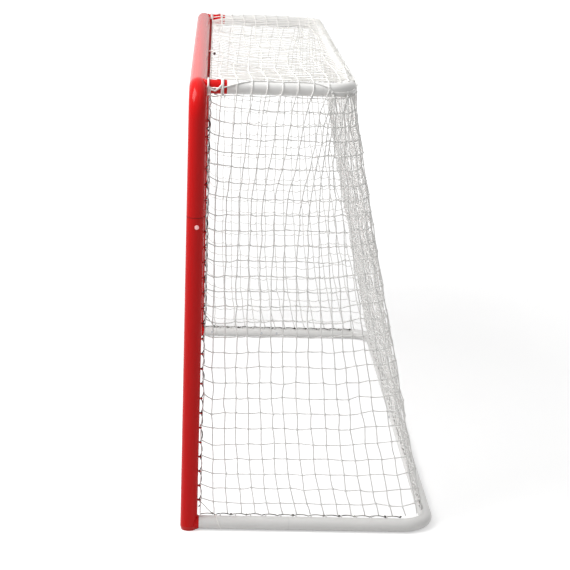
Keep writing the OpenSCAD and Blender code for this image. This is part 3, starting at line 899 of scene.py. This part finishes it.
topYs = [netSet["frontY"]]
topYs += [netSet["topStart"] + netSet["topSpan"] * i for i in range(1, netSet["straightCols"] + 1)]
topYs += topSet["lastRows"]
acrossXs = [topX, topSet["firstX"]]
acrossXs += [topPlace(col)[0] for col in range(cornerCol + topSet["skipCols"], midCol + 1)]
acrossXs += [-x for x in reversed(acrossXs[:-1])]
widest = len(acrossXs) - 1


def topKnot(i, j):
    x, y = acrossXs[i], topYs[j]
    seeds = topSet["seeds"]
    loose = random.Random(i * seeds[0] + j * seeds[1] + seeds[2])
    inside = 0 < j and 0 < i < widest
    x *= 1 - smooth(*topSet["turnIn"], abs(x) / topX) * (1 - outerX(y) / topX)
    if inside:
        perX, perRow = topSet["curveTurns"]
        y += topSet["sCurve"] * math.sin(x * perX + j * perRow) * smooth(*topSet["curveCols"], abs(x))
        x += loose.gauss(0, topSet["jitter"][0])
        y += loose.gauss(0, topSet["jitter"][1])
    z = topHeight(x, y)
    return np.array((x, y, z + (loose.gauss(0, topSet["jitter"][2]) if inside else 0.0)))


def sideEnd(j):
    # from the edge strand up to the top of the side tube; past the straight tube, from under the elbow
    if j <= netSet["straightCols"]:
        travel, strandRise = edgeSpot(j)
        rises = range(int(strandRise) + overSet["step"], overSet["last"], overSet["step"])
        return [knotAt(j, edgeRow)] + [onTop(travel, rise) for rise in rises]
    ownTravel = bendTravel(math.asin(min(1.0, (topYs[j] - topLine["centreY"]) / topBend)))
    tieTravel, tieRise = gatherSpot(1)
    points = []
    for i in range(topSet["tieSteps"]):
        t = i / topSet["tieSteps"]
        points.append(onTop(tieTravel + (ownTravel - tieTravel) * t, tieRise + 360 - (tieRise + 270) * t))
    return points


def topRow(j):
    ends = sideEnd(j) if j > 0 else []
    route = list(ends)
    for i in range(widest):
        start, end = topKnot(i, j), topKnot(i + 1, j)
        route += [start, (start + end) / 2 - np.array((0, 0, topSet["barSag"]))]
    route.append(topKnot(widest, j))
    return route + [place * mirrored for place in reversed(ends)]


def topColumn(i):
    route = []
    for j in range(len(topYs) - 1):
        start, end = topKnot(i, j), topKnot(i, j + 1)
        route += [start, (start + end) / 2]
    route.append(topKnot(i, len(topYs) - 1))
    for rise in topSet["rearRises"]:
        cosine, sine = circleAt(rise)
        y, z = topSet["rearY"] + coverRadius * cosine, netSet["topZ"] + coverRadius * sine
        route.append(np.array((route[-1][0], y, z)))
    return route


def topPanel():
    net = emptyNet()
    for j in range(len(topYs)):
        addTwine(net, topRow(j))
    for i in range(1, widest):
        addTwine(net, topColumn(i))
    for i in range(len(acrossXs)):
        for j in range(1, len(topYs)):
            addKnot(net, topKnot(i, j), cordSet["knot"] * topSet["knotShare"])
    buildPiece("topNet", net, topTwinePaintedLight, "net_cord", "top_net")


topPanel()

print("edge strand and lacing")


def edgeStrand():
    net = emptyNet()
    route = []
    for col in range(lastCol):
        first, second = edgeSpot(nearOf(col)), edgeSpot(nearOf(col + 1))
        if first == second:
            continue
        for i in range(edgeSet["steps"]):
            t = i / edgeSet["steps"]
            place = onTop(first[0] + (second[0] - first[0]) * t, first[1] + (second[1] - first[1]) * t)
            route.append(place * mirrored if col >= midCol else place)
    route.append(knotAt(lastCol, edgeRow))
    addCord(net, route, cordSet["twine"] * edgeSet["share"], edgeSet["sides"])
    for col in range(lastCol + 1):
        gathered = gatherIndex(nearOf(col)) is not None
        addKnot(net, knotAt(col, edgeRow), cordSet["knot"] * (edgeSet["gatherKnot"] if gathered else 1.0))
    buildPiece("edgeStrand", net, netTwine, "net_cord")


edgeStrand()

lacingSet = {
    "pitch": 0.043,
    "firstLoopZ": 0.086,
    "lastLoopZ": 1.118,
    "topTieZ": 1.14,
    "barLoops": 20,  # on each half of the crossbar
    "reach": 0.0068,  # how far the cord bows back from its loops to the net
    "barReach": 0.0062,
    "baseReach": 0.0042,
    "swell": (0.85, 1.12),  # how much one bow differs from another
    "bowPower": 0.8,
    "inward": 0.002,
    "steps": 8,
    "wander": 0.0004,
    "seeds": {1: 11, -1: 12, 0: 14},  # right post, left post, crossbar
    "tail": 0.0011,  # radius of the cord that runs on from the post to the base
    "knot": 0.0034,
    "barKnotShare": 0.8,
    "seat": 0.002,  # a knot's centre lies this far behind or above its loop
    "barSeat": 0.001,
    "knotEvery": 3,  # loops on the post
    "knotted": 0.45,  # share of the base loops at which the cord is knotted
    "baseKnots": (0.6, 1.0),
    "crossing": ((0.9385, -0.3095, 0.079), (0.9382, -0.303, 0.078), (0.9365, -0.295, 0.069),
                 (0.9335, -0.286, 0.057), (0.9305, -0.278, 0.0475), (0.9285, -0.272, 0.0415)),
}
backwards = np.array((0.0, 1.0, 0.0))
upwards = np.array((0.0, 0.0, 1.0))


def addLacing(net, loops, back, inward, reach, loose):
    # from loop to loop the cord bows back to catch the net's edge knots
    route = []
    for start, end in zip(loops, loops[1:]):
        own = reach * loose.uniform(*lacingSet["swell"])
        for i in range(lacingSet["steps"]):
            t = i / lacingSet["steps"]
            swing = math.sin(math.pi * t) ** lacingSet["bowPower"]
            route.append(start + (end - start) * t + swing * (back * own + inward * lacingSet["inward"]))
    route.append(loops[-1])
    addCord(net, route, cordSet["lacing"])


def postLacing(name, side, node):
    net = emptyNet()
    loose = random.Random(lacingSet["seeds"][side])
    count = int((lacingSet["lastLoopZ"] - lacingSet["firstLoopZ"]) / lacingSet["pitch"]) + 1
    heights = [postLace[0].z] + [lacingSet["firstLoopZ"] + lacingSet["pitch"] * i for i in range(count)]
    heights += [lacingSet["topTieZ"], postLace[1].z]
    wander, laceY = lacingSet["wander"], centreOf(node)[1]
    loops = [np.array((side * postX, laceY + loose.uniform(-wander, wander), z)) for z in heights]
    addLacing(net, loops, backwards, np.array((-side, 0.0, 0.0)), lacingSet["reach"], loose)
    for loop in loops[1::lacingSet["knotEvery"]]:
        addKnot(net, loop + backwards * lacingSet["seat"], lacingSet["knot"])
    buildPiece(name, net, lacingTwine, "lacing_cord", node)


postLacing("rightPostLacing", 1, "right_post_lacing")
postLacing("leftPostLacing", -1, "left_post_lacing")


def crossbarLacing():
    net = emptyNet()
    loose = random.Random(lacingSet["seeds"][0])
    node = "crossbar_lacing"
    half = [lacingSet["pitch"] * (i + 0.5) for i in range(lacingSet["barLoops"])] + [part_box(node)[1].x]
    xs = [-x for x in reversed(half)] + half
    loops = [np.array((x, *centreOf(node)[1:])) for x in xs]
    addLacing(net, loops, backwards, upwards, lacingSet["barReach"], loose)
    seat = (backwards + upwards) * lacingSet["barSeat"]
    for loop in loops:
        addKnot(net, loop + seat, lacingSet["knot"] * lacingSet["barKnotShare"])
    buildPiece("crossbarLacing", net, lacingTwine, "lacing_cord", node)


crossbarLacing()


def laceStops(low, high):
    count = round((high - low) / lacingSet["pitch"])
    return [low + (high - low) * i / count for i in range(count + 1)]


def baseLacing(name, side, node):
    # side is 0 for the rear
    net = emptyNet()
    low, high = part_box(node)
    middleX, middleY, middleZ = centreOf(node)
    if side:
        loops = [np.array((middleX, y, middleZ)) for y in laceStops(low.y, high.y)]
    else:
        loops = [np.array((x, middleY, middleZ)) for x in laceStops(low.x, high.x)]
    loose = random.Random(len(loops))
    addLacing(net, loops, upwards, upwards * 0, lacingSet["baseReach"], loose)
    for loop in loops[2:]:
        if loose.random() < lacingSet["knotted"]:
            size = lacingSet["knot"] * loose.uniform(*lacingSet["baseKnots"])
            addKnot(net, loop + upwards * lacingSet["seat"], size)
    if side:
        crossing = [np.array((side * x, y, z)) for x, y, z in lacingSet["crossing"]]  # up to the post lacing
        addCord(net, crossing, lacingSet["tail"])
        addKnot(net, crossing[-1], lacingSet["knot"])
    buildPiece(name, net, baseTwinePaintedShade, "lacing_cord", node)


baseLacing("rightBaseLacing", 1, "right_base_lacing")
baseLacing("leftBaseLacing", -1, "left_base_lacing")
baseLacing("rearBaseLacing", 0, "rear_base_lacing")

print("border cords and ties")

borderSet = {
    # depth and degrees round the red stub: a turn at its root, a slant on its outer side, a turn and back
    "stub": ((-0.3105, -355), (-0.3105, 0), (-0.303, -13), (-0.292, -22), (-0.283, -3), (-0.274, 22),
             (-0.2715, 74), (-0.2705, 250), (-0.2715, 434), (-0.288, 455)),
    # the two thin ties at the foot of each base tube, in the same way
    "baseTie": ((-0.262, 82), (-0.258, 40), (-0.252, 0), (-0.247, -38)),
    "innerTie": ((-0.262, 98), (-0.266, 150), (-0.262, 200), (-0.258, 218)),
    "barTie": ((0.14, -0.3135, 1.2475), (0.152, -0.304, 1.251), (0.168, -0.297, 1.249),
               (0.185, -0.289, 1.2455), (0.2, -0.276, 1.244)),
    "barTieShare": 0.8,  # of the border cord's radius
    "barKnot": (0.198, -0.296, 1.248),
    "barKnotShare": 1.2,
    "endKnotShare": 1.3,
    "step": 12,  # degrees between two points of a turn
}


def roundTube(turns, centreX, centreZ, radius):
    # a cord wound on a tube that runs along Y
    stops = []
    for start, end in zip(turns, turns[1:]):
        start, end = np.array(start), np.array(end)
        count = max(2, int(abs(end[1] - start[1]) / borderSet["step"]))
        stops += [start + (end - start) * i / count for i in range(count)]
    stops.append(turns[-1])
    route = []
    for y, turn in stops:
        cosine, sine = circleAt(turn)
        route.append((centreX + radius * cosine, y, centreZ + radius * sine))
    return np.array(route)


def borderCords():
    net = emptyNet()
    border, twine = cordSet["border"], cordSet["twine"]
    routes = [(roundTube(borderSet["stub"], topX, netSet["topZ"], tubeRadius + border), border)]
    for tie in ("baseTie", "innerTie"):
        routes.append((roundTube(borderSet[tie], baseTube[0], baseTube[2], tubeRadius + twine), twine))
    for route, radius in routes:
        for side in (1, mirrored):
            addCord(net, route * side, radius)
            addKnot(net, route[0] * side, radius * borderSet["endKnotShare"])
    addCord(net, borderSet["barTie"], border * borderSet["barTieShare"])
    buildPiece("borderCords", net, borderTwine, "net_cord")


def barKnot():
    net = emptyNet()
    addKnot(net, borderSet["barKnot"], lacingSet["knot"] * borderSet["barKnotShare"])
    buildPiece("barTieKnot", net, lacingTwine, "lacing_cord")


borderCords()
barKnot()

print("weld beads")

weldSet = {
    "bead": 0.0022,
    "segments": 40,
    "sides": 8,
    "sameTurn": 0.9999,  # cosine within which points belong to one ring of the bead
    "ripple": 0.0003,  # each ring of the bead is shifted by this much in turn
    "lowest": 0.0006,  # the collar's bead is cut off here, clear of the ground
}
postRadius = (postBox[1].x - postBox[0].x) / 2
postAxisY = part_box("right_upper")[0].y + postRadius


def weldBead(name, centreX, centreZ, postUpright):
    # a bead that follows the saddle where a frame tube meets a post or the crossbar
    deselectAll()
    bpy.ops.mesh.primitive_torus_add(
        location=(centreX, postAxisY, centreZ), rotation=(math.radians(90), 0, 0),
        major_radius=tubeRadius, minor_radius=weldSet["bead"],
        major_segments=weldSet["segments"], minor_segments=weldSet["sides"])
    bead = bpy.context.object
    bead.name = name
    bpy.ops.object.transform_apply(location=True, rotation=True, scale=False)
    bpy.ops.object.mode_set(mode="EDIT")
    mesh = bmesh.from_edit_mesh(bead.data)
    for segment in range(weldSet["segments"]):
        turn = 2 * math.pi * segment / weldSet["segments"]
        heading = Vector((math.cos(turn), 0, math.sin(turn)))
        for vert in mesh.verts:
            away = vert.co - Vector((centreX, vert.co.y, centreZ))
            vert.select = away.normalized().dot(heading) > weldSet["sameTurn"]
        mesh.select_flush_mode()
        bmesh.update_edit_mesh(bead.data)
        offset = tubeRadius * (heading.x if postUpright else heading.z)
        depth = math.sqrt(postRadius ** 2 - offset ** 2) + weldSet["ripple"] * (-1) ** segment
        bpy.ops.transform.translate(value=(0, depth, 0))
    bpy.ops.mesh.select_all(action="SELECT")
    bpy.ops.mesh.bisect(plane_co=(0, 0, weldSet["lowest"]), plane_no=(0, 0, 1),
                        use_fill=True, clear_inner=True)
    bpy.ops.object.mode_set(mode="OBJECT")
    bpy.ops.object.shade_smooth()
    bead.data.materials.append(redEnamel)
    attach(bead, goalBody)


for side, word in ((1, "right"), (-1, "left")):
    weldBead(word + "StubWeld", side * topX, netSet["topZ"], False)
    weldBead(word + "CollarWeld", side * baseTube[0], baseTube[2], True)

print("floor and light")

lightSet = {
    "floorSize": 120.0,
    "floorDrop": 0.0005,
    "floorColour": (0.75, 0.75, 0.75, 1),
    "floorRoughness": 0.9,
    "nearGlow": 0.46,  # of the floor by the goal, as the camera and reflections see it
    "farGlow": 0.85,
    "glowRadii": (1.2, 5.0),
    "ambient": 0.33,
    "keyPlace": (1.19, -1.89, 3.22),
    "keyTarget": (0.3, 0.0, 0.8),
    "keySize": 1.7,
    "keyPower": 90,
    "overheadStrength": 0.5,
    "overheadSpread": 80,  # degrees
}


def seenNode(tree):
    # 1 for what the camera, a reflection or a clear material sees, and 0 for the light on the goal
    path = tree.nodes.new("ShaderNodeLightPath").outputs
    seen = mathNode(tree, "MAXIMUM", path["Is Camera Ray"], path["Is Glossy Ray"])
    return mathNode(tree, "MAXIMUM", seen, path["Is Transmission Ray"])


def addFloor():
    deselectAll()
    bpy.ops.mesh.primitive_plane_add(size=lightSet["floorSize"], location=(0, 0, -lightSet["floorDrop"]))
    floor = bpy.context.object
    floor.name = "studioFloor"
    material, tree = newMaterial("floorPaint")
    shader = tree.nodes["Principled BSDF"].inputs
    feedAll(tree, shader, {"Base Color": lightSet["floorColour"], "Roughness": lightSet["floorRoughness"],
                           "Specular IOR Level": 0.0, "Emission Color": (1, 1, 1, 1)})
    away = tree.nodes.new("ShaderNodeVectorMath")
    away.operation = "LENGTH"
    feed(tree, tree.nodes.new("ShaderNodeTexCoord").outputs["Object"], away.inputs[0])
    spread = rampNode(tree, away.outputs["Value"], *lightSet["glowRadii"])
    rise = product(tree, spread, lightSet["farGlow"] - lightSet["nearGlow"])
    glow = total(tree, rise, lightSet["nearGlow"])
    feed(tree, product(tree, seenNode(tree), glow), shader["Emission Strength"])
    floor.data.materials.append(material)


def addWorld():
    world = bpy.data.worlds.new("studioWorld")
    world.use_nodes = True
    tree = world.node_tree
    background = tree.nodes["Background"].inputs
    strength = tree.nodes.new("ShaderNodeMapRange")
    feedAll(tree, strength.inputs, {"Value": seenNode(tree), "To Min": lightSet["ambient"], "To Max": 1.0})
    feedAll(tree, background, {"Color": (1, 1, 1, 1), "Strength": strength.outputs[0]})
    bpy.context.scene.world = world


def addLamp(name, kind, comesFrom, strength):
    data = bpy.data.lights.new(name, kind)
    data.energy = strength
    lamp = bpy.data.objects.new(name, data)
    bpy.context.collection.objects.link(lamp)
    lamp.rotation_euler = Vector(comesFrom).to_track_quat("Z", "Y").to_euler()
    return lamp


addFloor()
addWorld()
keyLamp = addLamp("keyLamp", "AREA", Vector(lightSet["keyPlace"]) - Vector(lightSet["keyTarget"]),
                  lightSet["keyPower"])
keyLamp.location = lightSet["keyPlace"]
keyLamp.data.size = lightSet["keySize"]
overhead = addLamp("overheadLamp", "SUN", (0, 0, 1), lightSet["overheadStrength"])
overhead.data.angle = math.radians(lightSet["overheadSpread"])

print("done")
